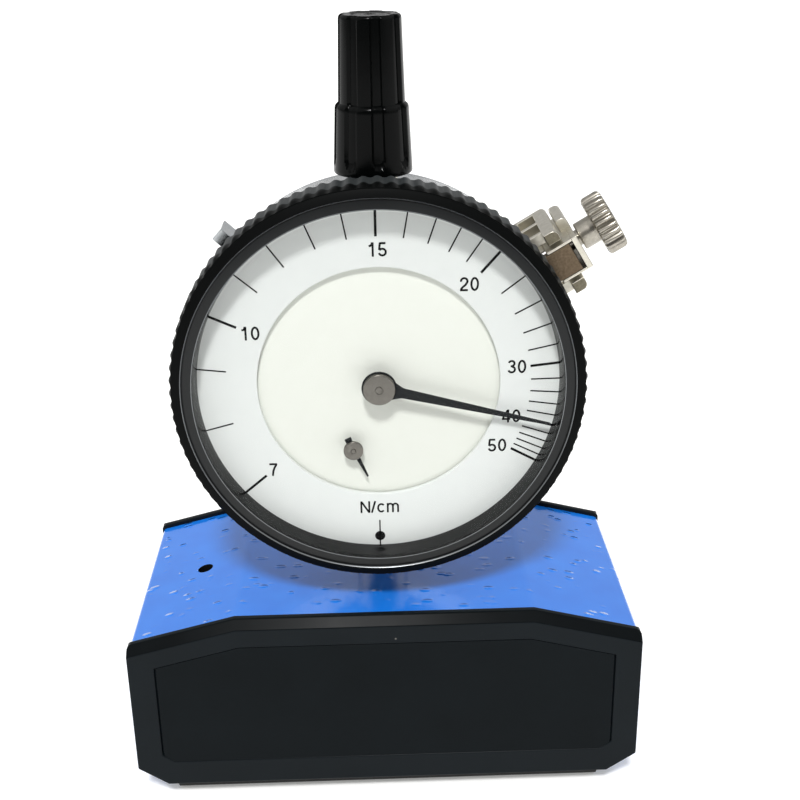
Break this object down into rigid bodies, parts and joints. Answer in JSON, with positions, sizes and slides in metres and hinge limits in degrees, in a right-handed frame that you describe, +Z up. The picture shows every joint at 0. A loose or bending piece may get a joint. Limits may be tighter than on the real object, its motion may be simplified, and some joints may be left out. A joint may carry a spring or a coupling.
{
  "type": "screen tension meter",
  "caption": "Mesh tension meter: black end plates and a blue housing stand on bars with a sprung measuring bar between them, read on a round dial gauge with knurled bezel and clamp.",
  "frame": {"origin": "centre of the base, on the surface that the two support bars stand on", "axes": "+X to the reader's right, +Y away from the reader of the dial, +Z up along the spindle"},
  "size_m": [0.0756, 0.0406, 0.1131],
  "materials": {
    "plate_black": "satin black anodised",
    "panel_black": "satin black blank panel",
    "blue_enamel": "glossy hammered enamel",
    "ground_steel": "ground",
    "frame_steel": "machined",
    "cover_metal": "plain",
    "spring_steel": "polished",
    "bronze": "turned",
    "bezel_black": "gloss black",
    "crystal": "clear",
    "dial_white": "matt white",
    "case_metal": "satin",
    "cap_black": "gloss black",
    "pointer_black": "matt black",
    "hub_steel": "turned",
    "movement_brass": "satin",
    "nickel": "satin nickel"
  },
  "bodies": {
    "base": {"front_end_plate": "plate_black", "rear_end_plate": "plate_black", "front_panel_inlay": "panel_black", "rear_panel_inlay": "panel_black", "front_support_bar": "ground_steel", "rear_support_bar": "ground_steel", "housing_shell": "blue_enamel", "base_frame": "frame_steel", "bottom_cover": "cover_metal", "left_guide_bush": "bronze", "right_guide_bush": "bronze", "left_leaf_spring": "spring_steel", "right_leaf_spring": "spring_steel", "stem_collar": "frame_steel", "dial_disc": "dial_white", "dial_case": "case_metal", "case_back": "case_metal", "stem": "ground_steel", "upper_neck": "ground_steel", "stem_cap": "cap_black", "rear_movement_plate": "movement_brass", "front_movement_plate": "movement_brass", "movement_pillars": "movement_brass", "counter_bearing": "movement_brass", "hairspring": "spring_steel", "clamp_frame": "nickel"},
    "probe": {"measuring_bar": "ground_steel", "guide_pins": "ground_steel", "anvil_button": "ground_steel"},
    "spindle": {"spindle": "ground_steel", "contact_point": "ground_steel", "spindle_guide_pin": "ground_steel"},
    "pointer": {"centre_arbor": "ground_steel", "main_pointer": "pointer_black", "pointer_hub": "hub_steel"},
    "counter": {"counter_arbor": "ground_steel", "counter_wheel": "movement_brass", "counter_pointer": "pointer_black"},
    "hairspring_wheel": {"hairspring_wheel": "movement_brass"},
    "bezel": {"bezel": "bezel_black", "crystal": "crystal", "scale_ring": "dial_white"},
    "clamp_jaw": {"clamp_block": "nickel"},
    "clamp_screw": {"clamp_thumb_screw": "nickel"},
    "calibration_screw": {"calibration_screw": "ground_steel"}
  },
  "joints": [
    {"name": "probe_slide", "type": "slide", "parent": "base", "child": "probe", "axis": [0, 0, 1], "range_m": [-0.0015, 0], "stiffness_N_per_m": 800, "springref_m": -0.0015, "deforming": ["left_leaf_spring", "right_leaf_spring"]},
    {"name": "spindle_slide", "type": "slide", "parent": "base", "child": "spindle", "axis": [0, 0, 1], "range_m": [-0.0016, 0.0001]},
    {"name": "pointer_turn", "type": "hinge", "parent": "base", "child": "pointer", "pos_m": [0, 0, 0.0644], "axis": [0, 1, 0], "range_deg": [-545, 5]},
    {"name": "counter_turn", "type": "hinge", "parent": "base", "child": "counter", "pos_m": [-0.00384, 0, 0.05469], "axis": [0, 1, 0], "range_deg": [-1, 91]},
    {"name": "hairspring_turn", "type": "hinge", "parent": "base", "child": "hairspring_wheel", "pos_m": [0.00384, 0, 0.07411], "axis": [0, 1, 0], "range_deg": [-1, 91]},
    {"name": "bezel_turn", "type": "hinge", "parent": "base", "child": "bezel", "pos_m": [0, 0, 0.0644], "axis": [0, 1, 0], "continuous": true},
    {"name": "clamp_jaw_slide", "type": "slide", "parent": "base", "child": "clamp_jaw", "axis": [0.8572, 0, 0.515], "range_m": [-0.00026, 0.00026]},
    {"name": "clamp_screw_turn", "type": "hinge", "parent": "clamp_jaw", "child": "clamp_screw", "pos_m": [0.03086, -0.0019, 0.08294], "axis": [0.8572, 0, 0.515], "range_deg": [-190, 190]},
    {"name": "calibration_turn", "type": "hinge", "parent": "base", "child": "calibration_screw", "pos_m": [-0.0282, 0, 0.0175], "axis": [0, 0, 1], "range_deg": [-180, 180]}
  ],
  "couplings": [
    {"joint": "spindle_slide", "follows": "probe_slide", "ratio": 1},
    {"joint": "pointer_turn", "follows": "probe_slide", "rad_per_m": 6283.2},
    {"joint": "counter_turn", "follows": "probe_slide", "rad_per_m": -1047.2},
    {"joint": "hairspring_turn", "follows": "probe_slide", "rad_per_m": -1047.2},
    {"joint": "clamp_screw_turn", "follows": "clamp_jaw_slide", "rad_per_m": 12566}
  ]
}
